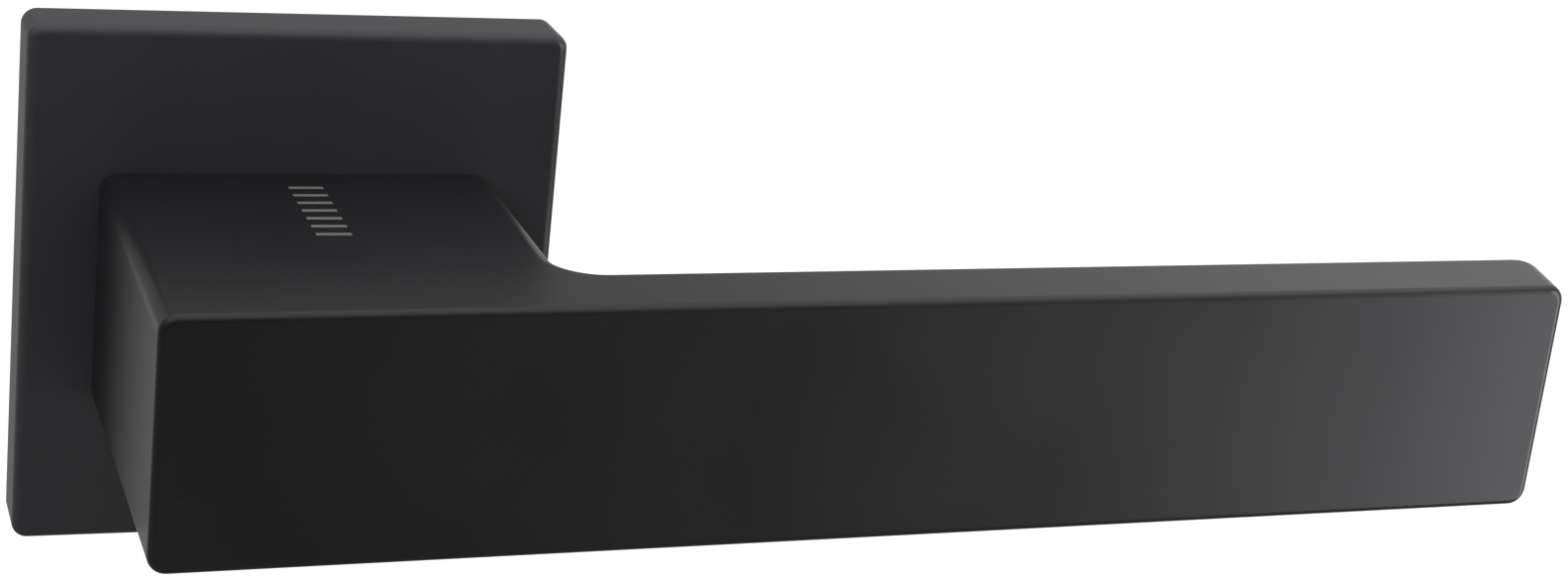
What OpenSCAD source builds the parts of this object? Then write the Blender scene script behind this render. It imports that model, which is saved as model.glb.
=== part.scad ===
// Door lever handle on a slim square rose: one half of a pair, for one side of a door.
// The origin is on the spindle's axis, in the plane of the door's surface.
// +X runs along the grip, +Y goes into the door, -Y comes out into the room, and +Z is up.
// A "depth" below is a distance from the door's surface into the room; a negative one lies in the door.

/* [Lever] */
// From the spindle's axis to the free end of the grip, along its front face
grip_reach = 119.5; // [90:0.5:160]
// Height of the grip and of the neck
lever_h = 23.7; // [21:0.1:30]
// Thickness of the grip, from its front face to its back face
grip_t = 9.9; // [7:0.1:14]
// How far the lever's front face stands from the door, at the spindle's axis
projection = 46; // [42:0.5:60]
// Slant of the front face, so that the free end comes nearer to the door
grip_slant = 1.5; // [0:0.5:2]
// From the spindle's axis to the outer side of the neck
neck_outer = 19; // [16:0.1:24]
// From the spindle's axis to the side of the neck where the grip leaves it
neck_inner = 18.9; // [16:0.1:24]
// Rounding of the neck's long edges and of the edges along the back of the grip
soft_edge_r = 2.1; // [0.8:0.1:3]
// Rounding of the crisp edges around the front face
front_edge_r = 0.7; // [0.3:0.1:1.5]
// Inside corner between the neck and the back of the grip
inner_corner_r = 4; // [2:0.5:10]
// Lean of the grip's free end, which is longer at the back than in front
end_lean = 15; // [0:1:20]
// Upright corner at the back of the grip's free end
tail_corner_r = 2.6; // [1:0.2:5]
// Diameter of the round shank that turns in the bush
shank_d = 16; // [15:0.5:18]
// Wall that is left between the neck's hollows and its outside
neck_wall = 2.6; // [2:0.1:4]

/* [Rose] */
// Side of the square rose cover
rose_w = 52; // [52:0.5:60]
// How far the rose cover stands from the door
rose_t = 6.5; // [6.5:0.1:9]
// Corners of the rose cover, seen from the front
rose_corner_r = 1.5; // [1.5:0.1:6]
// Rounding around the rose cover's front face
rose_edge_r = 1; // [0.4:0.1:1.2]
// Sheet thickness of the rose cover
cover_wall = 1.3; // [1:0.1:1.6]
// Thickness of the base's floor against the door
base_floor = 2; // [1.6:0.1:2.6]
// Thickness of the base's rim
rim_wall = 1.6; // [1.2:0.1:2.4]
// Thickness of the skin in front of the spring chamber
chamber_skin = 1.4; // [1:0.1:1.8]
// Radius of the spring chamber
chamber_r = 14.3; // [14.3:0.1:14.8]
// Radius of the raised drum around the spring chamber
drum_r = 18.6; // [18.2:0.1:19]

/* [Spindle and driver] */
// Side of the square spindle
spindle_w = 8; // [7:0.5:9]
// How far the spindle reaches into the door
spindle_in = 55; // [30:1:60]
// How far the spindle reaches out into the neck
spindle_out = 34; // [31:0.5:36]
// Thread diameter of the grub screw that clamps the lever on the spindle
grub_d = 6; // [5:0.5:6]
// Depth of the grub screw's axis in front of the door
grub_depth = 24; // [20:0.5:28]
// Thickness of the driver that turns with the spindle and pushes the springs
driver_t = 1.75; // [1.4:0.05:1.8]
// Thickness of the plate that closes the spring chamber
back_plate_t = 1.1; // [0.9:0.1:1.2]
// Diameter of the driver's boss, which runs in the back plate
driver_boss_d = 13.8; // [13:0.1:14.4]
// Thickness of the washer between the driver and the back plate
washer_t = 0.5; // [0.4:0.05:0.6]
// Thickness of the nylon flange between the neck and the rose
flange_t = 0.4; // [0.3:0.05:0.6]
// Wall of the nylon bush around the shank
bush_wall = 0.95; // [0.8:0.05:1.2]
// Thickness of the clip behind the back plate
clip_t = 1; // [0.8:0.1:1.4]

/* [Return springs] */
// Outside diameter of the spring's coils
spring_d = 3.6; // [3.2:0.1:3.7]
// Diameter of the spring wire
spring_wire_d = 0.8; // [0.5:0.05:1]
// Radius of the arc that the springs lie along
spring_arc_r = 12; // [11.9:0.1:12.1]
// Angle that each spring fills at rest
spring_span = 83.5; // [80:0.5:84]
// Turns of wire in each spring
spring_turns = 9; // [6:1:10]

/* [Fixings] */
// Distance between the two through-fixings
fixing_spacing = 38; // [38:0.5:39]
// Diameter of the posts that sit in the door's holes
post_d = 8; // [7.6:0.1:9]
// Length of the posts
post_len = 7; // [3:0.5:12]
// Diameter of the sleeve nuts' barrels
sleeve_d = 5.9; // [5.5:0.1:5.9]
// How far the sleeve nuts reach into the door
sleeve_in = 12; // [8:1:20]
// Diameter of the sleeve nuts' heads
sleeve_head_d = 8; // [7.4:0.1:8.2]
// Core diameter of the sleeve nuts' M4 thread
sleeve_bore_d = 3.3; // [3:0.1:3.5]
// Spacing of the four wood screw holes, both ways
wood_screw_spacing = 36; // [35:0.5:37]
// Diameter of the wood screw holes
wood_screw_d = 4; // [3:0.1:4.4]
// Thread diameter of the screws that hold the back plate
plate_screw_d = 2; // [1.6:0.1:2.2]
// Length of those screws
plate_screw_len = 4.2; // [3:0.1:4.4]
// Thread diameter of the set screw that holds the rose cover
set_screw_d = 3; // [2.5:0.1:3]

/* [Clearances] */
// Radial gap of a shaft that turns in its bore
running_gap = 0.05; // [0.02:0.01:0.1]
// Gap between the square spindle and its sockets, each side
square_gap = 0.05; // [0.02:0.01:0.1]
// Gap around a piece that drops into its place
drop_gap = 0.1; // [0.05:0.01:0.2]
// Gap between the rose cover and the base
cover_gap = 0.4; // [0.3:0.05:0.5]
// Gap between faces that pass each other
face_gap = 0.05; // [0.02:0.01:0.1]
// Radial gap of a screw in its threaded hole
thread_gap = 0.05; // [0.02:0.01:0.1]

/* [Hidden] */
$fn = 64;
past = 1;                                        // how far a cut runs past the face it opens

black_coat = "#2d2d30";
zamak = "#a9a8a4";
zinc_steel = "#c3c4c2";
spring_steel = "#8d8a84";
nylon = "#e9e6dc";

// Depths of the stack, from the back plate out to the neck
plate_back = 0.1;
plate_front = plate_back + back_plate_t;
driver_back = plate_front + washer_t + face_gap;
driver_front = driver_back + driver_t;
chamber_top = driver_front + face_gap + drop_gap;
skin_front = chamber_top + chamber_skin;
cover_inside = rose_t - cover_wall;
neck_back = rose_t + flange_t + face_gap;
shank_end = driver_front + face_gap;
clip_front = -0.25;
clip_back = clip_front - clip_t;

// Rose
base_w = rose_w - 2 * cover_wall - 2 * cover_gap;
bush_bore_r = shank_d / 2 + running_gap;
bush_r = bush_bore_r + bush_wall;
flange_r = bush_r + 1.5;
base_bore_r = bush_r + running_gap;
cover_bore_r = bush_r + drop_gap;
corner_boss_r = wood_screw_d / 2 + 3.2;
corner_boss_t = base_floor + 1.2;
corner_straight = 1.2;
sink_r = wood_screw_d / 2 + corner_boss_t - corner_straight;

// Back plate, its rebate and its screws
plate_r = drum_r - 0.1;
plate_half_w = fixing_spacing / 2 - post_d / 2 - 0.4;
plate_screw_ring_r = chamber_r + plate_screw_d / 2 + 0.9;
plate_screw_angles = [65, 115, 245, 295];
plate_screw_head_r = plate_screw_d / 2 + 0.9;
plate_screw_sink = 0.05;

// Sleeve nuts and their posts
sleeve_x = fixing_spacing / 2;
sleeve_boss_r = sleeve_head_d / 2 + 1.5;
sleeve_head_t = 1.2;
sleeve_seat = skin_front - sleeve_head_t - drop_gap;
sleeve_thread_end = sleeve_seat - 1.2;
sleeve_slot = [1.2, 0.6];

// Springs and the driver's lobes
coil_r = (spring_d - spring_wire_d) / 2;
spring_depth = skin_front - spring_d / 2 - drop_gap;
spring_half_span = spring_span / 2;
slot_half_span = spring_half_span + 0.15;
lobe_half_span = 90 - slot_half_span;
lobe_r = chamber_r - 0.35;
driver_hub_r = spring_arc_r - spring_d / 2 - drop_gap;
slot_w = spring_d + drop_gap;
ring_steps = 12;                                 // rings per turn of wire
wire_sides = 8;

// Set screw and hook of the rose cover
set_screw_len = 3;
set_screw_depth = 3.2;
screw_tip_z = rose_w / 2 - cover_wall - 2.35;
cover_boss = [8, 2.2];                           // width and height inside the cover
cover_boss_z = rose_w / 2 - cover_wall - cover_boss[1];
anvil_w = 12;
hook = [16, 0.8, 0.9];                           // width, thickness and reach down behind the base
hook_depth = 0.4;

// Directions along and across the slanting grip, seen from above
along = [cos(grip_slant), sin(grip_slant)];
across = [-sin(grip_slant), cos(grip_slant)];
// Centre of the round inside corner between neck and grip, seen from above
inner_corner_mid = [neck_inner + inner_corner_r,
                    (neck_inner + inner_corner_r) * tan(grip_slant)
                    + (inner_corner_r - projection + grip_t) / cos(grip_slant)];

// Neck hollows
hollow_start = flange_r + 0.7;
hollow_half_h = lever_h / 2 - neck_wall - 0.9;
hollow_end = projection - grip_t;
socket_end = spindle_out + 1;

// ---- helpers ----

// Children drawn as seen from the room, made solid between two depths.
module between(low, high) {
    rotate([90, 0, 0]) translate([0, 0, low]) linear_extrude(high - low) children();
}

// A turned solid on the spindle's axis or one beside it: outline points are [radius, depth].
module turned(outline) {
    rotate([90, 0, 0]) rotate_extrude() polygon(outline);
}

module rounded_rect(w, h, r) {
    square([w - 2 * r, h], center = true);
    square([w, h - 2 * r], center = true);
    for (x = [-1, 1], y = [-1, 1]) translate([x * (w / 2 - r), y * (h / 2 - r)]) circle(r);
}

// What lies outside a rounded corner whose two faces look along the angles a and b.
module corner_waste(r, a, b) {
    far = 2 * r;
    toward_a = far * [cos(a), sin(a)];
    toward_b = far * [cos(b), sin(b)];
    difference() {
        polygon([[0, 0], toward_a, toward_a + toward_b, toward_b]);
        circle(r);
    }
}

// A sector of a disc, centred on the angle a.
module sector(r, a, half_span) {
    reach = 2 * r;
    intersection() {
        circle(r);
        polygon([[0, 0], reach * [cos(a - half_span), sin(a - half_span)],
                 reach * [cos(a), sin(a)], reach * [cos(a + half_span), sin(a + half_span)]]);
    }
}

// The same with round sides: a band along an arc, for a spring's slot.
module arc_band(r, w, a, half_span) {
    difference() {
        sector(r + w / 2, a, half_span);
        circle(r - w / 2);
    }
}

module hex(across_flats) {
    circle(across_flats / sqrt(3), $fn = 6);
}

// A screw that stands along +Z with its tip at zero and a hexagon socket in its head.
module socket_screw(d, len, key, key_depth) {
    tip = 0.15 * d;
    difference() {
        union() {
            cylinder(h = tip, r1 = d / 2 - tip, r2 = d / 2);
            translate([0, 0, tip]) cylinder(h = len - tip, d = d);
        }
        translate([0, 0, len - key_depth]) linear_extrude(key_depth + past) hex(key);
    }
}

// ---- lever ----

// Centre of a round corner at the leaning free end, a height behind the front face.
function end_corner_mid(r, height) =
    [grip_reach + height * tan(end_lean) - r / cos(end_lean), height - projection];

// Outline of the neck and the grip, seen from above: an L with a round inside corner.
module lever_plan() {
    mid = inner_corner_mid;
    front_y = -neck_outer * tan(grip_slant) - projection / cos(grip_slant);
    difference() {
        polygon([[-neck_outer, -neck_back], [neck_inner, -neck_back], [neck_inner, mid[1]], mid,
                 mid - inner_corner_r * across,
                 (grip_reach + grip_t * tan(end_lean)) * along + (grip_t - projection) * across,
                 grip_reach * along - projection * across, [-neck_outer, front_y]]);
        translate(mid) circle(inner_corner_r);
        translate([-neck_outer, front_y]) rotate(45) square(front_edge_r, center = true);
        rotate(grip_slant) {
            translate(end_corner_mid(tail_corner_r, grip_t - tail_corner_r))
                corner_waste(tail_corner_r, -end_lean, 90);
            translate(end_corner_mid(front_edge_r, front_edge_r))
                corner_waste(front_edge_r, 270, 360 - end_lean);
        }
    }
}

// Outline of the lever, seen from the front: two soft corners on the neck's outer side.
module lever_front() {
    mid = lever_h / 2 - soft_edge_r;
    translate([-neck_outer, 0]) {
        translate([soft_edge_r, -lever_h / 2]) square([2 * grip_reach, lever_h]);
        translate([0, -mid]) square([grip_reach, 2 * mid]);
        for (z = [-mid, mid]) translate([soft_edge_r, z]) circle(soft_edge_r);
    }
}

// Waste along an edge at the top of the lever, from a point on its plan, and the same at the bottom.
module long_edge_waste(start, turn, len, r) {
    for (side = [0, 1]) mirror([0, 0, side])
        translate([start[0], start[1], lever_h / 2 - r]) rotate([0, 0, turn]) rotate([90, 0, 90])
            linear_extrude(len) corner_waste(r, 0, 90);
}

// The lever's outside: crisp edges in front, soft ones along the neck and the back of the grip.
module lever_form() {
    mid = inner_corner_mid;
    wide = inner_corner_r + soft_edge_r;
    difference() {
        intersection() {
            translate([0, 0, -lever_h / 2]) linear_extrude(lever_h) lever_plan();
            between(0, 2 * projection) lever_front();
        }
        long_edge_waste((grip_reach + past) * along + (front_edge_r - projection) * across,
                        180 + grip_slant, 2 * grip_reach, front_edge_r);
        long_edge_waste([neck_inner - soft_edge_r, past - neck_back], -90,
                        past - neck_back - mid[1], soft_edge_r);
        long_edge_waste(mid - wide * across, grip_slant, 2 * grip_reach, soft_edge_r);
    }
}

module lever() {
    color(black_coat) difference() {
        union() {
            lever_form();
            between(shank_end, neck_back + past) circle(d = shank_d);
        }
        between(shank_end - past, socket_end)
            square(spindle_w + 2 * square_gap, center = true);
        translate([0, -grub_depth, -lever_h / 2 - past])
            cylinder(h = lever_h / 2 + past, d = grub_d + 2 * thread_gap);
        between(neck_back - past, hollow_end) neck_hollows();
    }
}

// The two cored hollows beside the shank, open at the back of the neck.
module neck_hollows() {
    left = neck_wall - neck_outer;
    right = neck_inner - neck_wall;
    r = 0.8;
    translate([(left - hollow_start) / 2, 0])
        rounded_rect(-hollow_start - left, 2 * hollow_half_h, r);
    translate([(right + hollow_start) / 2, 0])
        rounded_rect(right - hollow_start, 2 * hollow_half_h, r);
}

module grub_screw() {
    len = 7;
    color(zinc_steel) translate([0, -grub_depth, -spindle_w / 2]) mirror([0, 0, 1])
        socket_screw(grub_d, len, 3, 3.2);
}

// ---- spindle and driver ----

module spindle() {
    corner_r = spindle_w * 0.655;
    groove_r = spindle_w / 2 + 0.8;
    color(zinc_steel) difference() {
        between(-spindle_in, spindle_out) intersection() {
            square(spindle_w, center = true);
            circle(corner_r);
        }
        between(clip_back - drop_gap, clip_front + drop_gap) difference() {
            circle(spindle_w);
            circle(groove_r);
        }
    }
}

// An open ring that snaps into the spindle's groove and keeps it from being pulled out.
module spindle_clip() {
    inside_r = spindle_w / 2 + 0.8 + running_gap;
    mouth = 5;
    color(spring_steel) between(clip_back, clip_front) difference() {
        circle(inside_r + 2.2);
        circle(inside_r);
        translate([-mouth / 2, -2 * inside_r]) square([mouth, 2 * inside_r]);
    }
}

// Turns with the spindle; whichever way it turns, its two lobes squeeze the springs.
module spring_driver() {
    color(zamak) difference() {
        union() {
            between(driver_back, driver_front) {
                circle(driver_hub_r);
                for (a = [0, 180]) sector(lobe_r, a, lobe_half_span);
            }
            between(plate_back + 0.2, driver_back) circle(d = driver_boss_d);
        }
        between(plate_back - past, driver_front + past)
            square(spindle_w + 2 * square_gap, center = true);
    }
}

// ---- rose ----

// A square plate with a rounded front edge: the outside of the rose cover.
module soft_plate(w, t, corner, edge) {
    mid = w / 2 - corner;
    between(0, t - edge) rounded_rect(w, w, corner);
    between(0, t) rounded_rect(w - 2 * edge, w - 2 * edge, corner - edge);
    rotate([90, 0, 0]) translate([0, 0, t - edge]) {
        for (a = [0, 90, 180, 270]) rotate([0, 0, a]) {
            translate([w / 2 - edge, -mid, 0]) rotate([-90, 0, 0]) cylinder(h = 2 * mid, r = edge);
            translate([mid, mid, 0]) rotate_extrude() translate([corner - edge, 0])
                intersection() {
                    circle(edge);
                    square(2 * edge);
                }
        }
    }
}

module rose_cover() {
    inside_w = rose_w - 2 * cover_wall;
    inside_r = rose_corner_r - cover_wall;
    color(black_coat) difference() {
        union() {
            difference() {
                soft_plate(rose_w, rose_t, rose_corner_r, rose_edge_r);
                between(-past, cover_inside) rounded_rect(inside_w, inside_w, inside_r);
            }
            between(set_screw_depth - 2, cover_inside + 0.1)
                translate([-cover_boss[0] / 2, -rose_w / 2 + cover_wall / 2])
                    square([cover_boss[0], cover_boss[1] + cover_wall / 2]);
            between(hook_depth, hook_depth + hook[1])
                translate([-hook[0] / 2, inside_w / 2 - hook[2]])
                    square([hook[0], hook[2] + cover_wall / 2]);
        }
        between(cover_inside - past, rose_t + past) circle(cover_bore_r);
        translate([0, -set_screw_depth, -rose_w / 2 - past])
            cylinder(h = cover_boss[1] + cover_wall + 2 * past, d = set_screw_d + 2 * thread_gap);
    }
}

module cover_set_screw() {
    color(black_coat) translate([0, -set_screw_depth, -screw_tip_z]) mirror([0, 0, 1])
        socket_screw(set_screw_d, set_screw_len, 1.5, 1.4);
}

// The casting that stays on the door: floor, rim, drum, bosses and posts.
module base_form() {
    between(0, base_floor) rounded_rect(base_w, base_w, 1);
    between(0, skin_front) {
        difference() {
            rounded_rect(base_w, base_w, 1);
            square(base_w - 2 * rim_wall, center = true);
        }
        circle(drum_r);
        intersection() {
            for (x = [-1, 1]) translate([x * sleeve_x, 0]) circle(sleeve_boss_r);
            square(base_w - rim_wall, center = true);
        }
        translate([-anvil_w / 2, -screw_tip_z]) square([anvil_w, screw_tip_z - drum_r / 2]);
        rib = 1.5;
        for (a = [90, 180, 360]) rotate(a) translate([drum_r - 1, -rib / 2])
            square([base_w / 2 - drum_r, rib]);
    }
    between(0, corner_boss_t) for (x = [-1, 1], z = [-1, 1])
        translate([x, z] * wood_screw_spacing / 2) intersection() {
            circle(corner_boss_r);
            square(base_w - wood_screw_spacing, center = true);
        }
    between(-post_len, 0.1) for (x = [-1, 1]) translate([x * sleeve_x, 0]) circle(d = post_d);
}

module rose_base() {
    notch_w = cover_boss[0] + 2 * cover_gap;
    color(zamak) difference() {
        base_form();
        between(-past, chamber_top) circle(chamber_r);
        between(-past, plate_front) plate_outline(drop_gap);
        between(chamber_top - past, skin_front + past) circle(base_bore_r);
        between(chamber_top - past, skin_front + past)
            for (a = [90, 270]) arc_band(spring_arc_r, slot_w, a, slot_half_span);
        for (x = [-1, 1]) {
            between(sleeve_seat, skin_front + past)
                translate([x * sleeve_x, 0]) circle(sleeve_head_d / 2 + drop_gap);
            between(-post_len - past, skin_front)
                translate([x * sleeve_x, 0]) circle(sleeve_d / 2 + drop_gap);
        }
        for (x = [-1, 1], z = [-1, 1]) translate([x, 0, z] * wood_screw_spacing / 2)
            turned([[0, -past], [wood_screw_d / 2, -past], [wood_screw_d / 2, corner_straight],
                    [sink_r, corner_boss_t], [sink_r, corner_boss_t + 0.2], [0, corner_boss_t + 0.2]]);
        for (a = plate_screw_angles)
            between(plate_front - past, plate_front + plate_screw_len)
                translate(plate_screw_ring_r * [cos(a), sin(a)])
                    circle(plate_screw_d / 2 + thread_gap);
        between(-past, skin_front + past)
            translate([-notch_w / 2, -base_w / 2 - past])
                square([notch_w, base_w / 2 + past - screw_tip_z]);
        between(-past, hook_depth + hook[1] + 0.2)
            translate([-hook[0] / 2 - cover_gap, base_w / 2 - hook[2]])
                square([hook[0] + 2 * cover_gap, hook[2] + past]);
    }
}

module neck_bush() {
    color(nylon) turned([[bush_bore_r, shank_end + face_gap], [bush_r, shank_end + face_gap],
                         [bush_r, rose_t], [flange_r, rose_t], [flange_r, rose_t + flange_t],
                         [bush_bore_r, rose_t + flange_t]]);
}

// ---- springs ----

// Share of a spring's length reached after a number of turns: its end turns lie wire against wire.
function advance(turn) =
    let (length = spring_arc_r * spring_span * PI / 180,
         closed = (spring_wire_d + 0.05) / length,
         first = spring_wire_d / 2 / length,
         open = (1 - 2 * first - 2 * closed) / (spring_turns - 2))
    turn < 1 ? first + closed * turn
    : turn > spring_turns - 1 ? 1 - first - closed * (spring_turns - turn)
    : first + closed + open * (turn - 1);

// Centre of the wire after a number of turns, for a spring centred on the angle mid.
function wire_at(turn, mid) =
    let (along = mid + spring_span * (advance(turn) - 0.5),
         r = spring_arc_r + coil_r * cos(360 * turn))
    [r * cos(along), -spring_depth - coil_r * sin(360 * turn), r * sin(along)];

function unit(v) = v / norm(v);

// Ring of points around the wire, square to it.
function wire_ring(turn, mid) =
    let (step = 0.01,
         here = wire_at(turn, mid),
         ahead = unit(wire_at(turn + step, mid) - wire_at(turn - step, mid)),
         along = mid + spring_span * (advance(turn) - 0.5),
         middle = [spring_arc_r * cos(along), -spring_depth, spring_arc_r * sin(along)],
         across = unit(cross(ahead, here - middle)),
         out = cross(across, ahead))
    [for (i = [0:wire_sides - 1])
        let (a = 360 * i / wire_sides)
        here + spring_wire_d / 2 * (cos(a) * out + sin(a) * across)];

module return_spring(mid) {
    rings = spring_turns * ring_steps;
    points = [for (k = [0:rings]) each wire_ring(k / ring_steps, mid)];
    sides = [for (k = [0:rings - 1], i = [0:wire_sides - 1])
        let (next = (i + 1) % wire_sides)
        [k * wire_sides + i, k * wire_sides + next,
         (k + 1) * wire_sides + next, (k + 1) * wire_sides + i]];
    ends = [[for (i = [wire_sides - 1:-1:0]) i],
            [for (i = [0:wire_sides - 1]) rings * wire_sides + i]];
    color(spring_steel) polyhedron(points, concat(sides, ends), convexity = 10);
}

module return_spring_upper() {
    return_spring(90);
}

module return_spring_lower() {
    return_spring(270);
}

// ---- what closes the spring chamber ----

module thrust_washer() {
    inside_r = driver_boss_d / 2 + 2 * drop_gap;
    color(nylon) between(plate_front, plate_front + washer_t) difference() {
        circle(driver_hub_r);
        circle(inside_r);
    }
}

// Round plate with two flat sides, which clear the posts; grow widens it for its rebate.
module plate_outline(grow) {
    intersection() {
        circle(plate_r - drop_gap + grow);
        square([2 * (plate_half_w + grow - drop_gap), 4 * plate_r], center = true);
    }
}

module back_plate() {
    head = plate_screw_head_r + plate_screw_sink;
    neck = plate_screw_d / 2 + drop_gap;
    color(zinc_steel) difference() {
        between(plate_back, plate_front) difference() {
            plate_outline(0);
            circle(driver_boss_d / 2 + 2 * running_gap);
        }
        for (a = plate_screw_angles)
            translate(plate_screw_ring_r * [cos(a), 0, sin(a)])
                turned([[0, plate_back - past], [head, plate_back - past], [head, plate_back],
                        [neck, plate_back + head - neck], [neck, plate_front + past],
                        [0, plate_front + past]]);
    }
}

// Countersunk screw with a cross recess, its head at the door's side of the back plate.
module plate_screw(a) {
    low = plate_back + plate_screw_sink;
    r = plate_screw_d / 2;
    cross = [2.2, 0.45, 0.5];
    color(zinc_steel) translate(plate_screw_ring_r * [cos(a), 0, sin(a)]) difference() {
        turned([[0, low], [plate_screw_head_r, low], [r, low + plate_screw_head_r - r],
                [r, low + plate_screw_len - 0.4], [r - 0.4, low + plate_screw_len],
                [0, low + plate_screw_len]]);
        between(low - past, low + cross[2]) for (turn = [0, 90]) rotate(turn)
            square([cross[0], cross[1]], center = true);
    }
}

module back_plate_screw_1() {
    plate_screw(plate_screw_angles[0]);
}

module back_plate_screw_2() {
    plate_screw(plate_screw_angles[1]);
}

module back_plate_screw_3() {
    plate_screw(plate_screw_angles[2]);
}

module back_plate_screw_4() {
    plate_screw(plate_screw_angles[3]);
}

// ---- sleeve nuts ----

// A slotted head in the base and a long barrel that takes the through-bolt from the other side.
module sleeve_nut(x) {
    r = sleeve_d / 2;
    bore = sleeve_bore_d / 2;
    head_front = sleeve_seat + sleeve_head_t;
    color(zinc_steel) translate([x, 0, 0]) difference() {
        turned([[bore, -sleeve_in], [r, -sleeve_in], [r, sleeve_seat],
                [sleeve_head_d / 2, sleeve_seat], [sleeve_head_d / 2, head_front],
                [0, head_front], [0, sleeve_thread_end], [bore, sleeve_thread_end]]);
        between(head_front - sleeve_slot[1], head_front + past)
            square([2 * sleeve_head_d, sleeve_slot[0]], center = true);
    }
}

module sleeve_nut_left() {
    sleeve_nut(-sleeve_x);
}

module sleeve_nut_right() {
    sleeve_nut(sleeve_x);
}

lever();
grub_screw();
spindle();
spindle_clip();
spring_driver();
rose_cover();
cover_set_screw();
rose_base();
neck_bush();
return_spring_upper();
return_spring_lower();
thrust_washer();
back_plate();
back_plate_screw_1();
back_plate_screw_2();
back_plate_screw_3();
back_plate_screw_4();
sleeve_nut_left();
sleeve_nut_right();
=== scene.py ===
# %% [markdown]
# # A door lever handle on a slim square rose
#
# The real object is one half of a pair of door handles: a black lever, the thin square rose
# that it turns in, and behind the rose the spring cassette, the spindle and the fixings that
# hold it all on a door. The working model comes in as a fixed frame of named solids. Here each
# solid gets its finish, and the pieces that the eye rests on are modelled again with better
# edges. Everything is in metres. +X runs along the grip, -Y comes out of the door, +Z is up.

from math import cos, pi, radians, sin, tan

import bmesh
import bpy
from mathutils import Matrix, Vector


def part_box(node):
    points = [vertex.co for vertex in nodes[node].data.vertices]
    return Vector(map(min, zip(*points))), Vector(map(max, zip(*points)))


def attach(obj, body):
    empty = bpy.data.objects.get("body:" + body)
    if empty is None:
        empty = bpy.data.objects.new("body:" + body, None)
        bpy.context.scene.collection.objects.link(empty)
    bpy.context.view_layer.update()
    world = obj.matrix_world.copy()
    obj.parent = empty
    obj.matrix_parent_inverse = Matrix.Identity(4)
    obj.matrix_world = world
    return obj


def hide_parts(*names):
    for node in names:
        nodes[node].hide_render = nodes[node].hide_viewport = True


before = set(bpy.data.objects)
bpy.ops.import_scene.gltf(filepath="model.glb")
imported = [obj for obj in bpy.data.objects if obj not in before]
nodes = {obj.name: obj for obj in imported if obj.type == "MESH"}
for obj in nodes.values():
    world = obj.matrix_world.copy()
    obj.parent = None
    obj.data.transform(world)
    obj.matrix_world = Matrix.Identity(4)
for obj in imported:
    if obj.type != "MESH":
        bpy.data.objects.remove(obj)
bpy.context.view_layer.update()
MM = 0.001

# %% [markdown]
# ## The camera first
#
# The camera stands close to the handle, a little above it and to the left of its rose, so the
# grip runs away to the right and its free end looks smaller. It also leans by a few degrees.
# A camera could be pointed with a Track To constraint, but a lean is awkward there, so its
# matrix is built from the three directions that a camera has: to its right, up, and backwards.

# %% Camera
YAW, PITCH, LEAN = radians(21.12), radians(17.657), radians(6.474)
CAMERA_AT = Vector((-55.201, -280.032, 98.022)) * MM
SENSOR, FOCAL, SHIFT_X, SHIFT_Y = 36, 68.34, 0.0022, -0.0313
ahead = Vector((sin(YAW) * cos(PITCH), cos(YAW) * cos(PITCH), -sin(PITCH)))
level_right = Vector((cos(YAW), -sin(YAW), 0))
level_up = level_right.cross(ahead)
lens_right = cos(LEAN) * level_right + sin(LEAN) * level_up
lens_up = cos(LEAN) * level_up - sin(LEAN) * level_right

lens = bpy.data.cameras.new("studio_camera")
lens.sensor_width, lens.lens = SENSOR, FOCAL
lens.shift_x, lens.shift_y = SHIFT_X, SHIFT_Y
lens.clip_start = 0.01
camera = bpy.data.objects.new("studio_camera", lens)
bpy.context.scene.collection.objects.link(camera)
turn = Matrix((lens_right, lens_up, -ahead)).transposed().to_4x4()
camera.matrix_world = Matrix.Translation(CAMERA_AT) @ turn
bpy.context.scene.camera = camera
print("camera looks along", [round(v, 3) for v in ahead])

# %% [markdown]
# ## Helpers for materials
#
# Colours are picked as sRGB hex values, as on a colour chart, but a shader works in linear
# light, so one function converts them. Another adds a node, sets it up and wires it in one
# call. A node tree could be clicked together in the Shader Editor in the same order.

# %% Colour helper


def linear(hex_colour, alpha=1.0):
    """An sRGB hex colour as linear RGBA."""
    parts = [int(hex_colour[i:i + 2], 16) / 255 for i in (1, 3, 5)]
    bent = [c / 12.92 if c <= 0.04045 else ((c + 0.055) / 1.055) ** 2.4 for c in parts]
    return (*bent, alpha)


print("half grey #808080 is", round(linear("#808080")[0], 3), "in linear light")

# %% Node and material helpers


def wire(tree, node, wires):
    """Feed a node's inputs. wires: {input: the node or socket to link from, or a value}."""
    for key, value in wires.items():
        if isinstance(value, bpy.types.Node):
            value = next(socket for socket in value.outputs if socket.enabled)
        if isinstance(value, bpy.types.NodeSocket):
            tree.links.new(value, node.inputs[key])
        else:
            node.inputs[key].default_value = value


def add_node(tree, kind, wires=None, **settings):
    """Add one node with its settings, and wire it."""
    node = tree.nodes.new(kind)
    for name, value in settings.items():
        setattr(node, name, value)
    wire(tree, node, wires or {})
    return node


def new_material(name):
    """A material with only its shader and its output; returns (material, tree, shader)."""
    material = bpy.data.materials.new(name)
    material.use_nodes = True
    tree = material.node_tree
    return material, tree, tree.nodes["Principled BSDF"]


print("materials that came with the model:", len(bpy.data.materials))

# %% [markdown]
# ## The mark on the neck
#
# The neck's top carries a small etched mark: a laser burns the pigment away, which leaves a
# paler and duller grey. Here it is a plain row of bars. A row like this could be an image, but
# one wave and a few comparisons in the shader stay sharp at any size.

# %% Etched mark
MARK_X, MARK_Y = (-0.25 * MM, 1.65 * MM), (-18.35 * MM, 7.85 * MM)  # middle and half length
MARK_TOP, MARK_PITCH, MARK_BAR = 11.8 * MM, 2.3 * MM, 0.35 * MM


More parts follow.
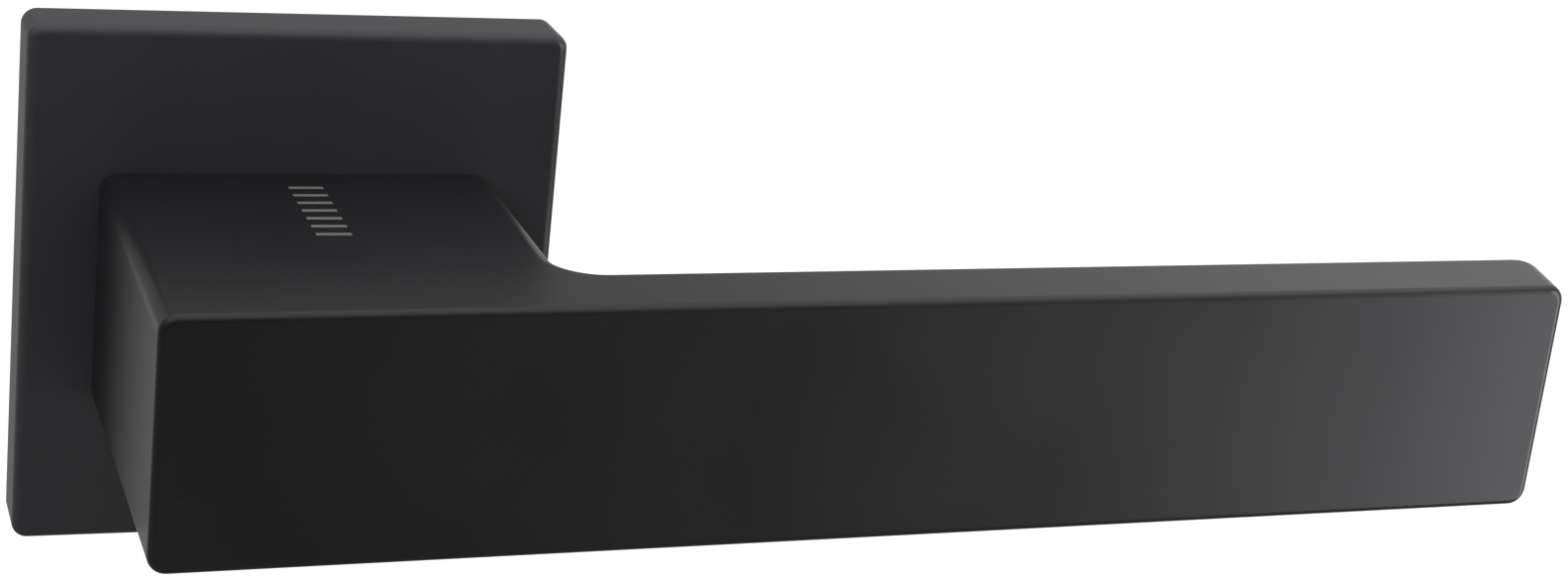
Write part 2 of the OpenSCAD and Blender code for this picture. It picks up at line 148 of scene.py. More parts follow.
def etched_mark(tree, where):
    """One inside the bars of the mark on the neck's top, zero elsewhere."""
    axes = add_node(tree, "ShaderNodeSeparateXYZ", {"Vector": where}).outputs
    in_x = add_node(tree, "ShaderNodeMath", {
        0: axes["X"], 1: MARK_X[0], 2: MARK_X[1]}, operation="COMPARE")
    in_y = add_node(tree, "ShaderNodeMath", {
        0: axes["Y"], 1: MARK_Y[0], 2: MARK_Y[1]}, operation="COMPARE")
    inside = add_node(tree, "ShaderNodeMath", {0: in_x, 1: in_y}, operation="MULTIPLY")
    along = add_node(tree, "ShaderNodeMath", {0: axes["Y"], 1: MARK_Y[0]}, operation="SUBTRACT")
    wave = add_node(tree, "ShaderNodeMath", {0: along, 1: MARK_PITCH / 2}, operation="PINGPONG")
    bars = add_node(tree, "ShaderNodeMath", {0: wave, 1: MARK_BAR}, operation="LESS_THAN")
    shown = add_node(tree, "ShaderNodeMath", {0: inside, 1: bars}, operation="MULTIPLY")
    on_top = add_node(tree, "ShaderNodeMath", {
        0: axes["Z"], 1: MARK_TOP}, operation="GREATER_THAN")
    return add_node(tree, "ShaderNodeMath", {0: shown, 1: on_top}, operation="MULTIPLY")


print("the mark is", round(2 * MARK_Y[1] / MM, 1), "mm long, a bar every",
      round(MARK_PITCH / MM, 1), "mm")

# %% [markdown]
# ## Satin black powder coat
#
# The lever and the rose are die-cast zinc with a black powder coat: paint that is sprayed on as
# dust and melted. It is dark but not pure black, softly shiny, and never quite flat. Close up it
# has two scales of unevenness: the orange peel of the melted film, some 2 mm wide and very
# shallow, and the fine grain of the powder, about a quarter of a millimetre. A fine speck of
# dust sits on it here and there. The rose's coat is a little duller than the lever's, and it is
# also painted paler, which stands in for the stronger light that falls on the rose's front.

# %% Powder coat
GRAIN, PEEL, CLOUD, SPECK = 0.25 * MM, 2.2 * MM, 22 * MM, 1.6 * MM
NOISE_LOW, NOISE_HIGH = 0.3, 0.7  # noise hardly ever leaves this range
SPECK_CORE, SPECK_EDGE, SPECK_RARE = 0.03, 0.055, 0.93


def powder_coat(name, dark, light, gloss, marked=False):
    """A coat between two tones; gloss is the range of its roughness."""
    material, tree, shader = new_material(name)
    where = add_node(tree, "ShaderNodeTexCoord").outputs["Object"]
    cloud = add_node(tree, "ShaderNodeTexNoise", {
        "Vector": where, "Scale": 1 / CLOUD, "Detail": 3})
    film = add_node(tree, "ShaderNodeMix", {
        "Factor": cloud, "A": linear(dark), "B": linear(light)}, data_type="RGBA")
    dust = add_node(tree, "ShaderNodeTexVoronoi", {"Vector": where, "Scale": 1 / SPECK})
    near_speck = add_node(tree, "ShaderNodeMapRange", {
        "Value": dust.outputs["Distance"], "From Min": SPECK_CORE, "From Max": SPECK_EDGE,
        "To Min": 1, "To Max": 0})
    rare = add_node(tree, "ShaderNodeMath", {
        0: dust.outputs["Color"], 1: SPECK_RARE}, operation="GREATER_THAN")
    speck = add_node(tree, "ShaderNodeMath", {0: near_speck, 1: rare}, operation="MULTIPLY")
    base = add_node(tree, "ShaderNodeMix", {
        "Factor": speck, "A": film, "B": linear("#4a4a4c")}, data_type="RGBA")
    rough = add_node(tree, "ShaderNodeMapRange", {
        "Value": cloud, "From Min": NOISE_LOW, "From Max": NOISE_HIGH,
        "To Min": gloss[0], "To Max": gloss[1]})
    if marked:
        mark = etched_mark(tree, where)
        base = add_node(tree, "ShaderNodeMix", {
            "Factor": mark, "A": base, "B": linear("#7a7876")}, data_type="RGBA")
        dull = add_node(tree, "ShaderNodeMath", {0: mark, 1: 0.7}, operation="MULTIPLY")
        rough = add_node(tree, "ShaderNodeMath", {0: rough, 1: dull}, operation="MAXIMUM")
    peel = add_node(tree, "ShaderNodeTexNoise", {
        "Vector": where, "Scale": 1 / PEEL, "Detail": 1})
    soft = add_node(tree, "ShaderNodeBump", {
        "Height": peel, "Distance": 0.01 * MM, "Strength": 0.6})
    grain = add_node(tree, "ShaderNodeTexNoise", {
        "Vector": where, "Scale": 1 / GRAIN, "Detail": 2})
    fine = add_node(tree, "ShaderNodeBump", {
        "Height": grain, "Distance": 0.004 * MM, "Strength": 0.7, "Normal": soft})
    wire(tree, shader, {"Base Color": base, "Roughness": rough, "IOR": 1.5, "Normal": fine})
    return material


black_coat = powder_coat("satin_black_powder_coat", "#1f1f22", "#242427", (0.275, 0.335), True)
# The rose's paler tone is painted light for its brighter front; its duller gloss is its own.
rose_coat_with_painted_light = powder_coat("rose_powder_coat_with_painted_light", "#3e3e41", "#454548", (0.38, 0.45))
print("made", black_coat.name, "and", rose_coat_with_painted_light.name)

# %% [markdown]
# ## The metals behind the rose
#
# What hides behind the cover is bare. The base and the driver are cast in zinc, which is dull
# and a little mottled where the melt cooled first. The spindle, the nuts and the back plate are
# steel with bright zinc plating, which shows a faint blue and yellow cloud. The springs are
# oiled spring steel, and the two small screws are blackened. All of these are one recipe with
# other tones, other gloss and another grain size, so one function makes them all.

# %% Metals


def bare_metal(name, dark, light, gloss, cloud, grain, depth):
    """Metal between two tones, with clouds and grain of the given sizes and depth."""
    material, tree, shader = new_material(name)
    where = add_node(tree, "ShaderNodeTexCoord").outputs["Object"]
    patches = add_node(tree, "ShaderNodeTexNoise", {
        "Vector": where, "Scale": 1 / cloud, "Detail": 4})
    amount = add_node(tree, "ShaderNodeMapRange", {
        "Value": patches, "From Min": NOISE_LOW, "From Max": NOISE_HIGH})
    tone = add_node(tree, "ShaderNodeMix", {
        "Factor": amount, "A": linear(dark), "B": linear(light)}, data_type="RGBA")
    rough = add_node(tree, "ShaderNodeMapRange", {
        "Value": patches, "From Min": NOISE_LOW, "From Max": NOISE_HIGH,
        "To Min": gloss[0], "To Max": gloss[1]})
    pits = add_node(tree, "ShaderNodeTexNoise", {
        "Vector": where, "Scale": 1 / grain, "Detail": 3})
    bump = add_node(tree, "ShaderNodeBump", {
        "Height": pits, "Distance": depth, "Strength": 0.8})
    wire(tree, shader, {"Base Color": tone, "Roughness": rough, "Metallic": 1, "Normal": bump})
    return material


cast_zinc = bare_metal("die_cast_zinc", "#8b8a86", "#a5a4a0", (0.42, 0.55),
                       5 * MM, 0.4 * MM, 0.02 * MM)
zinc_plate = bare_metal("bright_zinc_plating", "#b9bcbf", "#c9c6bc", (0.26, 0.36),
                        3 * MM, 0.5 * MM, 0.002 * MM)
spring_steel = bare_metal("oiled_spring_steel", "#6d6a64", "#84817b", (0.28, 0.40),
                          1.5 * MM, 0.1 * MM, 0.004 * MM)
black_oxide = bare_metal("black_oxide_steel", "#232324", "#2f2e2d", (0.34, 0.46),
                         1.2 * MM, 0.08 * MM, 0.003 * MM)
print("metals:", [metal.name for metal in (cast_zinc, zinc_plate, spring_steel, black_oxide)])

# %% [markdown]
# ## Nylon
#
# The bush and the washer are natural nylon, moulded and left uncoloured. It is milky, and a
# little light gets under its surface, so it has some subsurface scattering and soft, shallow
# marks from the mould.

# %% Nylon
nylon, nylon_tree, nylon_shader = new_material("natural_nylon")
inside_nylon = add_node(nylon_tree, "ShaderNodeTexCoord").outputs["Object"]
milk = add_node(nylon_tree, "ShaderNodeTexNoise", {
    "Vector": inside_nylon, "Scale": 1 / (4 * MM), "Detail": 3})
cream = add_node(nylon_tree, "ShaderNodeMix", {
    "Factor": milk, "A": linear("#e6e1d3"), "B": linear("#f0ece1")}, data_type="RGBA")
satin = add_node(nylon_tree, "ShaderNodeMapRange", {
    "Value": milk, "From Min": NOISE_LOW, "From Max": NOISE_HIGH, "To Min": 0.40, "To Max": 0.52})
mould = add_node(nylon_tree, "ShaderNodeTexNoise", {
    "Vector": inside_nylon, "Scale": 1 / (0.3 * MM), "Detail": 2})
mould_marks = add_node(nylon_tree, "ShaderNodeBump", {"Height": mould, "Distance": 0.006 * MM})
wire(nylon_tree, nylon_shader, {
    "Base Color": cream, "Roughness": satin, "Normal": mould_marks,
    "Subsurface Weight": 0.15, "Subsurface Radius": (0.6 * MM, 0.5 * MM, 0.4 * MM)})
print("made", nylon.name)

# %% [markdown]
# ## The solids that stay
#
# The working model's solids have the right shape already for everything that works behind the
# cover: the cast base with its bosses and posts, the driver with its two lobes, the coiled
# springs, the back plate and its cross-headed screws. They stay as they are and only change
# their material.

# %% Finish the solids that stay
staying = {
    "rose_base": cast_zinc, "spring_driver": cast_zinc,
    "back_plate": zinc_plate, "back_plate_screw_1": zinc_plate, "back_plate_screw_2": zinc_plate,
    "back_plate_screw_3": zinc_plate, "back_plate_screw_4": zinc_plate,
    "spindle_clip": spring_steel, "return_spring_upper": spring_steel,
    "return_spring_lower": spring_steel, "grub_screw": black_oxide,
    "cover_set_screw": black_oxide, "neck_bush": nylon, "thrust_washer": nylon}


def finish(piece, material):
    """Give a piece one material all over."""
    piece.data.materials.clear()
    piece.data.materials.append(material)


for name, material in staying.items():
    finish(nodes[name], material)
print("finished", len(staying), "solids")

# %% [markdown]
# ## Modelling helpers
#
# Each new piece starts as a primitive and is shaped in edit mode, as one would by hand. The
# operators act on whatever is selected, so these helpers first deselect everything, and then
# pick faces and edges in code by where they are. The main sizes are read from the working
# solids, so that a new piece fills the same space.

# %% Selecting


def edit(piece):
    """Select one object alone, and enter its edit mode."""
    bpy.ops.object.select_all(action="DESELECT")
    piece.select_set(True)
    bpy.context.view_layer.objects.active = piece
    bpy.ops.object.mode_set(mode="EDIT")


def done():
    """Leave edit mode."""
    bpy.ops.object.mode_set(mode="OBJECT")


def pick(piece, kind, test):
    """In edit mode, select only the faces, edges or verts for which test is true."""
    bpy.ops.mesh.select_mode(type={"faces": "FACE", "edges": "EDGE", "verts": "VERT"}[kind])
    bpy.ops.mesh.select_all(action="DESELECT")
    mesh = bmesh.from_edit_mesh(piece.data)
    chosen = [part for part in getattr(mesh, kind) if test(part)]
    for part in chosen:
        part.select = True
    mesh.select_flush_mode()
    bmesh.update_edit_mesh(piece.data)
    return len(chosen)


print("selected by the frame:", len(bpy.context.selected_objects), "objects")

# %% Measuring


def box_in_mm(node):
    """The lowest and the highest corner of a working solid, in millimetres."""
    return [[round(value / MM, 2) for value in corner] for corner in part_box(node)]


def near(value, target, tolerance=0.02):
    """Whether a coordinate in metres is at a target in millimetres."""
    return abs(value - target * MM) < tolerance * MM


lever_low, lever_high = box_in_mm("lever")
print("lever from", lever_low, "to", lever_high)

# %% [markdown]
# ## The lever
#
# The lever is one casting: a square neck that comes straight out of the rose, and a flat bar
# that leaves it at a right angle. Its front edges are crisp, and all its long edges behind the
# front face are rounded by nearly 2 mm, so that the hand finds no corner. The inside corner has a
# larger radius, and the free end leans, so that it is longer at the back. It could be drawn as a
# profile and extruded, but a box that grows an arm keeps the faces few and clean, so that every
# rounding is one bevel, made from the largest to the smallest. Edges left lying in a flat face
# are dissolved first, because a bevel that slides along one of them gets a pinch.

# %% Sizes of the lever, in millimetres
NECK_LEFT, HALF_H = lever_low[0], lever_high[2]
NECK_RIGHT, NECK_BACK = 18.9, -6.95
FRONT, GRIP_T, GRIP_END = -46.0, 9.9, 120.66
SLANT, END_LEAN = radians(1.5), radians(15)
SOFT, CRISP, INSIDE, TAIL, ROOT = 1.75, 0.75, 4.0, 2.6, 0.25
ARM_ZONE, ARM_MIDDLE = -30, -40  # only the arm's corners lie in front of these depths
FLAT, BENT, SHARP = 0.001, 0.3, 0.5  # angles between two faces, in radians
END_LONGER = GRIP_T * tan(END_LEAN - SLANT)
print("the end is longer at the back by", round(END_LONGER, 2), "mm")

# %% Block out the lever


def block(name, low, high):
    """A box between two corners given in millimetres."""
    bpy.ops.object.select_all(action="DESELECT")
    low, high = Vector(low) * MM, Vector(high) * MM
    bpy.ops.mesh.primitive_cube_add(size=1, location=(low + high) / 2)
    piece = bpy.context.object
    piece.name = piece.data.name = name
    piece.scale = high - low
    bpy.ops.object.transform_apply(location=True, rotation=True, scale=True)
    return piece


lever = block("lever_casting", (NECK_LEFT, FRONT, -HALF_H), (NECK_RIGHT, NECK_BACK, HALF_H))
edit(lever)
bpy.ops.mesh.select_all(action="SELECT")
bpy.ops.mesh.bisect(plane_co=(0, (FRONT + GRIP_T) * MM, 0), plane_no=(0, 1, 0))
pick(lever, "faces", lambda f: f.normal.x > 0.9 and f.calc_center_median().y < ARM_MIDDLE * MM)
bpy.ops.mesh.extrude_region_move(
    TRANSFORM_OT_translate={"value": ((GRIP_END - NECK_RIGHT) * MM, 0, 0)})
for x in (NECK_LEFT, NECK_RIGHT, GRIP_END):
    pick(lever, "verts", lambda v: near(v.co.x, x) and v.co.y < ARM_ZONE * MM)
    bpy.ops.transform.translate(value=(0, x * tan(SLANT) * MM, 0))
pick(lever, "verts", lambda v: near(v.co.x, GRIP_END) and v.co.y > ARM_MIDDLE * MM)
bpy.ops.transform.translate(value=(END_LONGER * MM, END_LONGER * tan(SLANT) * MM, 0))
pick(lever, "edges", lambda e: e.calc_face_angle(0) < FLAT)
bpy.ops.mesh.dissolve_edges()
done()
print("blocked out with", len(lever.data.polygons), "faces")

# %% Round the lever's upright corners


def middle_of(edge):
    """The middle of an edge."""
    return (edge.verts[0].co + edge.verts[1].co) / 2


def along_axis(edge, axis):
    """Whether an edge runs along an axis: 0 for X, 1 for Y, 2 for Z."""
    step = edge.verts[1].co - edge.verts[0].co
    return abs(step[axis]) > 0.99 * step.length


edit(lever)
inside_edges = pick(lever, "edges", lambda e: along_axis(e, 2)
                    and near(middle_of(e).x, NECK_RIGHT)
                    and ARM_MIDDLE * MM < middle_of(e).y < ARM_ZONE * MM)
bpy.ops.mesh.bevel(offset=INSIDE * MM, segments=16, affect="EDGES", clamp_overlap=False)
tail_edges = pick(lever, "edges", lambda e: along_axis(e, 2)
                  and near(middle_of(e).x, GRIP_END + END_LONGER))
tail_offset = TAIL / tan((pi / 2 - END_LEAN) / 2)
bpy.ops.mesh.bevel(offset=tail_offset * MM, segments=14, affect="EDGES", clamp_overlap=False)
done()
print("rounded", inside_edges, "inside edge and", tail_edges, "end edge")

# %% Round the long edges, then the crisp ones around the front face


def at_front(v):
    """Whether a vertex lies on the slanting front face."""
    return abs(v.co.y - (FRONT * MM + v.co.x * tan(SLANT))) < 0.03 * MM


def at_root(v):
    """Whether a vertex lies on the neck's back."""
    return near(v.co.y, NECK_BACK)


edit(lever)
pick(lever, "edges", lambda e: abs(abs(middle_of(e).z) - HALF_H * MM) < 1e-5
     and not along_axis(e, 2)
     and not (at_front(e.verts[0]) and at_front(e.verts[1]))
     and not (at_root(e.verts[0]) and at_root(e.verts[1]))
     and e.calc_face_angle(0) > SHARP)
bpy.ops.mesh.bevel(offset=SOFT * MM, segments=8, affect="EDGES", clamp_overlap=False)
pick(lever, "edges", lambda e: at_front(e.verts[0]) and at_front(e.verts[1])
     and e.calc_face_angle(0) > BENT)
bpy.ops.mesh.bevel(offset=CRISP * MM, segments=5, affect="EDGES", clamp_overlap=False)
pick(lever, "edges", lambda e: at_root(e.verts[0]) and at_root(e.verts[1])
     and e.calc_face_angle(0) > BENT)
bpy.ops.mesh.bevel(offset=ROOT * MM, segments=3, affect="EDGES", clamp_overlap=False)
done()
print("lever rounded:", len(lever.data.polygons), "faces")

# %% [markdown]
# ## The lever's shank and hollows
#
# Behind the neck a round shank runs in the bush. The spindle goes into a square socket, the grub
# screw comes from below to hold it, and two cores on either side save metal and keep the walls
# even, as a casting needs. Rods and blocks are welded on or cut out with Booleans, which is how
# the real hollows come about too: the mould has a core for each.

# %% Shank
SHANK_R, SHANK_END = 8, -3.55


def rod(name, radius, start, end, sides=64, x=0):
    """A cylinder along Y between two depths, all in millimetres."""
    bpy.ops.object.select_all(action="DESELECT")
    bpy.ops.mesh.primitive_cylinder_add(
        vertices=sides, radius=radius * MM, depth=abs(end - start) * MM,
        location=Vector((x, (start + end) / 2, 0)) * MM, rotation=(pi / 2, 0, 0))
    piece = bpy.context.object
    piece.name = piece.data.name = name
    bpy.ops.object.transform_apply(location=True, rotation=True, scale=True)
    return piece


def carve(piece, tool, how="DIFFERENCE"):
    """Cut a tool out of a piece, or weld it on, with an applied Boolean."""
    bpy.ops.object.select_all(action="DESELECT")
    piece.select_set(True)
    bpy.context.view_layer.objects.active = piece
    cut = piece.modifiers.new("carve", "BOOLEAN")
    cut.operation = how
    cut.solver = "EXACT"
    cut.object = tool
    bpy.ops.object.modifier_apply(modifier=cut.name)
    bpy.data.objects.remove(tool)


carve(lever, rod("shank", SHANK_R, NECK_BACK - 1, SHANK_END, sides=96), "UNION")
print("with its shank:", len(lever.data.polygons), "faces")

# %% Socket, grub screw hole and casting cores
SOCKET_HALF, SOCKET_END = 4.05, -35
GRUB_R, GRUB_DEPTH = 3.05, 24
CORES, CORE_END, CORE_HALF_H = ((-16.4, -11.2), (11.2, 16.3)), -36.1, 8.35


def upright(tool, depth):
    """Stand a rod up, at a depth in millimetres in front of the door."""
    tool.data.transform(Matrix.Translation((0, -depth * MM, 0)) @ Matrix.Rotation(pi / 2, 4, "X"))
    return tool


carve(lever, block("socket", (-SOCKET_HALF, SOCKET_END, -SOCKET_HALF),
                   (SOCKET_HALF, 0, SOCKET_HALF)))
carve(lever, upright(rod("grub_hole", GRUB_R, -13, 0), GRUB_DEPTH))
for low, high in CORES:
    carve(lever, block("core", (low, CORE_END, -CORE_HALF_H), (high, 0, CORE_HALF_H)))
print("hollowed:", len(lever.data.polygons), "faces")

# %% Shade and finish the lever


def smooth(piece, angle=35):
    """Smooth shading up to an angle, with the large flat faces kept flat."""
    bpy.ops.object.select_all(action="DESELECT")
    piece.select_set(True)
    bpy.context.view_layer.objects.active = piece
    bpy.ops.object.shade_smooth_by_angle(angle=radians(angle))
    weighted = piece.modifiers.new("even", "WEIGHTED_NORMAL")
    weighted.keep_sharp = True
    weighted.weight = 100
    bpy.ops.object.modifier_apply(modifier=weighted.name)


smooth(lever)
finish(lever, black_coat)
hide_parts("lever")
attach(lever, "lever")
print("lever finished in", black_coat.name)

# %% [markdown]
# ## The rose cover
#
# The cover is a thin square cap. Its front face is flat with softly rounded edges, it is hollow
# behind, and its round hole lets the bush and the shank through. A box that is bevelled and then
# hollowed from the back gives the same wall all round. Inside the top edge a low hook catches
# behind the base, and inside the bottom edge a boss holds the set screw, which goes in from
# below through a hole with a broken edge. These are welded on and drilled with Booleans, which
# is quicker than fitting new faces into the thin wall by hand.

# %% Rose cover
cover_low, cover_high = box_in_mm("rose_cover")
ROSE, ROSE_T = cover_high[0], -cover_low[1]
WALL, ROSE_CORNER, ROSE_EDGE, ROSE_HOLE_R = 1.3, 1.5, 1.0, 9.1
cover = block("rose_cap", (-ROSE, -ROSE_T, -ROSE), (ROSE, 0, ROSE))
edit(cover)
pick(cover, "edges", lambda e: along_axis(e, 1))
bpy.ops.mesh.bevel(offset=ROSE_CORNER * MM, segments=10, affect="EDGES", clamp_overlap=False)
pick(cover, "edges", lambda e: near(e.verts[0].co.y, -ROSE_T) and near(e.verts[1].co.y, -ROSE_T))
bpy.ops.mesh.bevel(offset=ROSE_EDGE * MM, segments=8, affect="EDGES", clamp_overlap=False)
pick(cover, "faces", lambda f: f.normal.y > 0.9)
bpy.ops.mesh.inset(thickness=WALL * MM)
bpy.ops.mesh.extrude_region_move(TRANSFORM_OT_translate={"value": (0, -(ROSE_T - WALL) * MM, 0)})
done()
carve(cover, rod("cover_hole", ROSE_HOLE_R, -8, -4, sides=96))
print("cap:", 2 * ROSE, "mm square and", ROSE_T, "mm thick")

# %% Hook, boss and screw hole of the cover
HOOK = (-8, -1.2, 23.8), (8, -0.4, ROSE - WALL / 2)
BOSS = (-4, -5.3, -ROSE + WALL / 2), (4, -1.2, -22.5)
SCREW_DEPTH, SCREW_HOLE_R, SCREW_HOLE_EDGE = 3.2, 1.55, 0.2
carve(cover, block("hook", *HOOK), "UNION")
carve(cover, block("boss", *BOSS), "UNION")
carve(cover, upright(rod("screw_hole", SCREW_HOLE_R, -28, -21, sides=48), SCREW_DEPTH))
edit(cover)
rim_edges = pick(cover, "edges", lambda e: (
    near(e.verts[0].co.z, -ROSE) and near(e.verts[1].co.z, -ROSE)
    and Vector((middle_of(e).x, middle_of(e).y + SCREW_DEPTH * MM)).length
    < 1.01 * SCREW_HOLE_R * MM))
bpy.ops.mesh.bevel(offset=SCREW_HOLE_EDGE * MM, segments=2, affect="EDGES", clamp_overlap=False)
done()
smooth(cover)
finish(cover, rose_coat_with_painted_light)
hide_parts("rose_cover")
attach(cover, "rose")
print("rose cover:", len(cover.data.polygons), "faces, with", rim_edges, "around its screw hole")

# %% [markdown]
# ## The spindle
#
# The spindle is a square bar of 8 mm that passes through the door. It is sawn off and its ends
# are chamfered, so that it finds its way into the latch, and its long edges keep the small
# rounding of the drawn bar. A round bar that is cut flat on four sides has those edges at once,
# and the same cuts, set askew, make the chamfers. Behind the back plate the spindle has a groove
# for the clip. The groove only bites into the four corners, so it is cut with a thick ring.

# %% Spindle
spindle_low, spindle_high = box_in_mm("spindle")
SIDE, ENDS = spindle_high[0], ((spindle_low[1], -1), (spindle_high[1], 1))
CORNER_R, CHAMFER = 5.24, 0.7
GROOVE_R, GROOVE = 4.8, (0.15, 1.35)
SNAP = 1e-7  # metres; the usual snap distance would pull the cuts off by 0.1 mm
spindle = rod("spindle_bar", CORNER_R, spindle_low[1], spindle_high[1], sides=96)
edit(spindle)
for x, z in ((1, 0), (-1, 0), (0, 1), (0, -1)):
    bpy.ops.mesh.select_all(action="SELECT")
    bpy.ops.mesh.bisect(plane_co=Vector((x, 0, z)) * SIDE * MM, plane_no=(x, 0, z),
                        clear_outer=True, use_fill=True, threshold=SNAP)
    for end, way in ENDS:
        bpy.ops.mesh.select_all(action="SELECT")
        bpy.ops.mesh.bisect(plane_co=Vector((x * SIDE, end - way * CHAMFER, z * SIDE)) * MM,
                            plane_no=(x, way, z), clear_outer=True, use_fill=True, threshold=SNAP)
done()
ring = rod("ring_tool", 8, *GROOVE)
carve(ring, rod("ring_hole", GROOVE_R, 0, 2))
carve(spindle, ring)
smooth(spindle, 25)
finish(spindle, zinc_plate)
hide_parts("spindle")
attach(spindle, "lever")
print("spindle:", len(spindle.data.polygons), "faces")

# %% [markdown]
# ## Sleeve nuts
#
# Each sleeve nut is turned from bar: a low round head that lies in the base under the cover, a
# screwdriver slot across it, and a long barrel into the door that takes the M4 bolt from the
# other side. The thread inside is modelled as rings of a shallow V, close enough to a helix at
# this size and far simpler than one. One nut is made, and the second is a copy with a mesh of its
# own, moved across by the distance between the fixings.

# %% Barrel of a sleeve nut
nut_low, nut_high = box_in_mm("sleeve_nut_left")
FIX_X, HEAD_R = -(nut_low[0] + nut_high[0]) / 2, nut_high[2]
HEAD_FRONT, MOUTH = nut_low[1], nut_high[1]
BARREL_R, BORE_R, SEAT, RIM, LEAD = 2.95, 1.65, -3.75, 0.35, 0.25
THREAD, THREAD_END, THREAD_GROW = 0.7, -2.5, 1.12


def barrel(name, x):
    """A round bar with a chamfered mouth and a threaded bore, in edit mode from its mouth in."""
    nut = rod(name, BARREL_R, MOUTH, SEAT - 0.5, x=x)
    edit(nut)
    pick(nut, "faces", lambda f: near(f.calc_center_median().y, MOUTH) and f.normal.y > 0.9)
    bpy.ops.mesh.bevel(offset=RIM * MM, segments=2, affect="EDGES")
    pick(nut, "faces", lambda f: near(f.calc_center_median().y, MOUTH) and f.normal.y > 0.9)
    bpy.ops.mesh.inset(thickness=(BARREL_R - RIM - BORE_R - LEAD) * MM)
    bpy.ops.mesh.extrude_region_move(TRANSFORM_OT_translate={"value": (0, -LEAD * MM, 0)})
    shrink = BORE_R / (BORE_R + LEAD)
    bpy.ops.transform.resize(value=(shrink, 1, shrink), center_override=(x * MM, 0, 0))
    turns = int((MOUTH - LEAD - THREAD_END) / THREAD)
    for step in range(2 * turns):
        grow = THREAD_GROW if step % 2 == 0 else 1 / THREAD_GROW
        bpy.ops.mesh.extrude_region_move(
            TRANSFORM_OT_translate={"value": (0, -THREAD / 2 * MM, 0)})
        bpy.ops.transform.resize(value=(grow, 1, grow), center_override=(x * MM, 0, 0))
    done()
    return nut


sleeve_left = barrel("sleeve_turned_left", -FIX_X)
print("barrel:", len(sleeve_left.data.polygons), "faces, fixings", 2 * FIX_X, "mm apart")

# %% Head and slot, and the second sleeve nut
HEAD_EDGE, SLOT_HALF, SLOT_DEEP = 0.25, 0.6, 0.6
head = rod("head", HEAD_R, SEAT, HEAD_FRONT, x=-FIX_X)
edit(head)
pick(head, "faces", lambda f: f.normal.y < -0.9)
bpy.ops.mesh.bevel(offset=HEAD_EDGE * MM, segments=2, affect="EDGES")
done()
carve(sleeve_left, head, "UNION")
carve(sleeve_left, block("slot", (-FIX_X - 5, HEAD_FRONT - 1, -SLOT_HALF),
                         (-FIX_X + 5, HEAD_FRONT + SLOT_DEEP, SLOT_HALF)))
smooth(sleeve_left, 25)
finish(sleeve_left, zinc_plate)

sleeve_right = sleeve_left.copy()
sleeve_right.data = sleeve_left.data.copy()
sleeve_right.name = sleeve_right.data.name = "sleeve_turned_right"
bpy.context.scene.collection.objects.link(sleeve_right)
sleeve_right.data.transform(Matrix.Translation((2 * FIX_X * MM, 0, 0)))
for nut, node in ((sleeve_left, "sleeve_nut_left"), (sleeve_right, "sleeve_nut_right")):
    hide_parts(node)
    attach(nut, "rose")
print("sleeve nuts:", len(sleeve_left.data.polygons), "faces each")

# %% [markdown]
# ## Studio
#
# The handle hangs in front of a bright white surround, with a pale floor below it. The camera's
# own side of the room is darker, so the faces that look at the camera stay nearly black, and the
# faces that glance past it pick up the white behind. One tall soft lamp stands on the right, in
# front, and washes over the free end of the grip. Another hangs overhead, and a third on the left
# fills the shadows without a reflection of its own.

# %% World
world = bpy.data.worlds.new("studio")
bpy.context.scene.world = world
world.use_nodes = True
sky = world.node_tree
sky.nodes.clear()
toward = add_node(sky, "ShaderNodeTexCoord").outputs["Generated"]
split = add_node(sky, "ShaderNodeSeparateXYZ", {"Vector": toward}).outputs
behind = add_node(sky, "ShaderNodeMapRange", {
    "Value": split["Y"], "From Min": -0.35, "From Max": 0.45, "To Min": 0.05, "To Max": 0.42})
above = add_node(sky, "ShaderNodeMapRange", {
    "Value": split["Z"], "From Min": 0.25, "From Max": 0.85, "To Min": 0.0, "To Max": 0.64})
right = add_node(sky, "ShaderNodeMapRange", {
    "Value": split["X"], "From Min": 0.28, "From Max": 0.66, "To Min": 0.74, "To Max": 2.2})
around = add_node(sky, "ShaderNodeMath", {0: behind, 1: above}, operation="MAXIMUM")
lit = add_node(sky, "ShaderNodeMath", {0: around, 1: right}, operation="MULTIPLY")
seen = add_node(sky, "ShaderNodeLightPath").outputs["Is Camera Ray"]
level = add_node(sky, "ShaderNodeMix", {"Factor": seen, "A": lit, "B": 1.05}, data_type="FLOAT")
glow = add_node(sky, "ShaderNodeBackground", {"Color": (1, 1, 1, 1), "Strength": level})
add_node(sky, "ShaderNodeOutputWorld", {"Surface": glow})
print("world of", len(sky.nodes), "nodes")

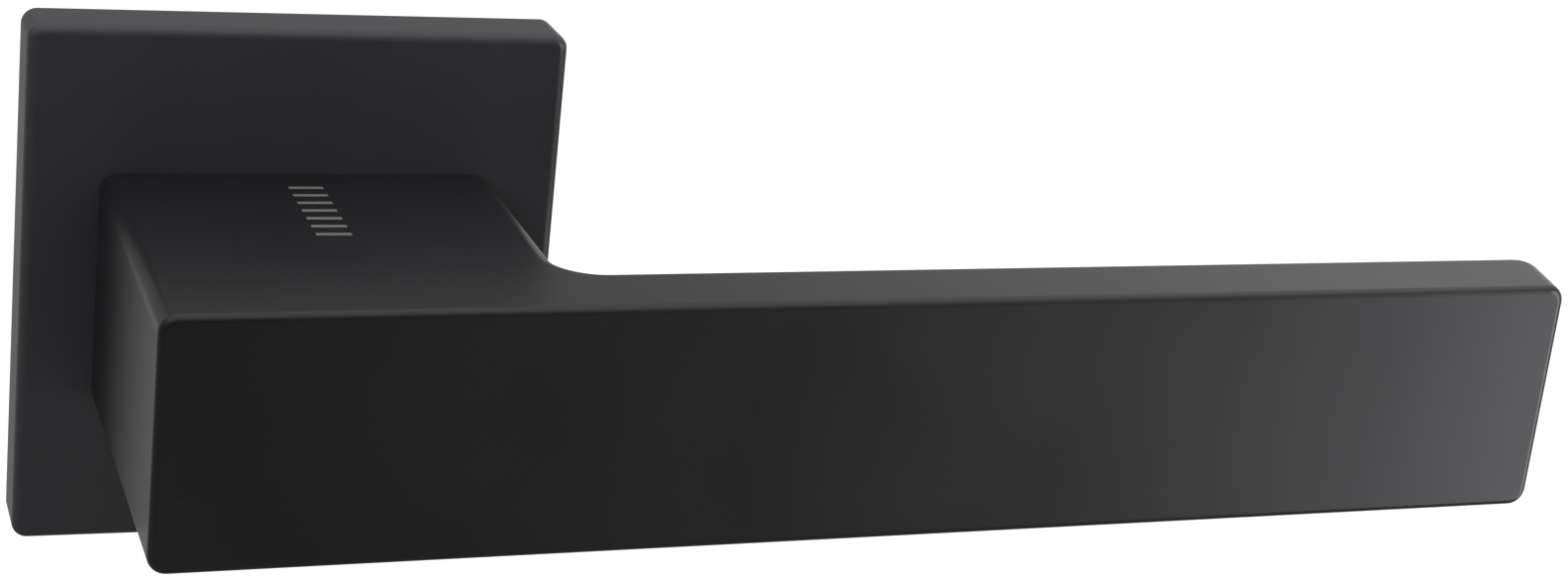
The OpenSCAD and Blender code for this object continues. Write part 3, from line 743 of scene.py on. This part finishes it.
# %% Floor
FLOOR_SIZE, FLOOR_Z = 12, -0.8
bpy.ops.object.select_all(action="DESELECT")
bpy.ops.mesh.primitive_plane_add(size=FLOOR_SIZE, location=(0, 0, FLOOR_Z))
floor = bpy.context.object
floor.name = "studio_floor"
bpy.ops.object.transform_apply(location=True, rotation=True, scale=True)
floor_paint, floor_tree, floor_shader = new_material("white_studio_floor")
on_floor = add_node(floor_tree, "ShaderNodeTexCoord").outputs["Object"]
place = add_node(floor_tree, "ShaderNodeSeparateXYZ", {"Vector": on_floor}).outputs
# The floor glows, which is painted light: camera rays see it at full strength, so it shows plain
# white, and all other rays get a dim glow that grows towards its far side.
far_side_glow = add_node(floor_tree, "ShaderNodeMapRange", {
    "Value": place["Y"], "From Min": 0.3, "From Max": 1.6, "To Min": 0.02, "To Max": 0.32})
camera_ray = add_node(floor_tree, "ShaderNodeLightPath").outputs["Is Camera Ray"]
floor_glow_strength = add_node(floor_tree, "ShaderNodeMath", {
    0: far_side_glow, 1: camera_ray}, operation="MAXIMUM")
wire(floor_tree, floor_shader, {
    "Base Color": linear("#8c8c8c"), "Roughness": 0.9,
    "Emission Color": (1, 1, 1, 1), "Emission Strength": floor_glow_strength})
finish(floor, floor_paint)
print("floor", -FLOOR_Z, "m below the spindle")

# %% Lamps


def soft_lamp(name, place, target, width, height, power):
    """A rectangular softbox that faces a point."""
    lamp = bpy.data.lights.new(name, "AREA")
    lamp.shape = "RECTANGLE"
    lamp.size, lamp.size_y = width, height
    lamp.energy = power
    lamp.color = (0.96, 0.975, 1.0)
    holder = bpy.data.objects.new(name, lamp)
    bpy.context.scene.collection.objects.link(holder)
    holder.location = place
    holder.rotation_euler = (Vector(target) - Vector(place)).to_track_quat("-Z", "Y").to_euler()
    return holder


reflector = soft_lamp("softbox_right", (0.97, -0.61, -0.10), (0.1, -0.04, 0), 0.6, 1.15, 9.5)
reflector.visible_diffuse = False
soft_lamp("softbox_top", (0.1, 0.0, 1.4), (0.03, 0, 0), 2.4, 2.4, 7)
fill = soft_lamp("fill_left", (-1.1, -0.6, 0.9), (0, 0, 0), 1.2, 1.2, 9)
fill.visible_glossy = False
bpy.context.scene.view_settings.view_transform = "Standard"
print("lamps:", [lamp.name for lamp in bpy.data.lights])
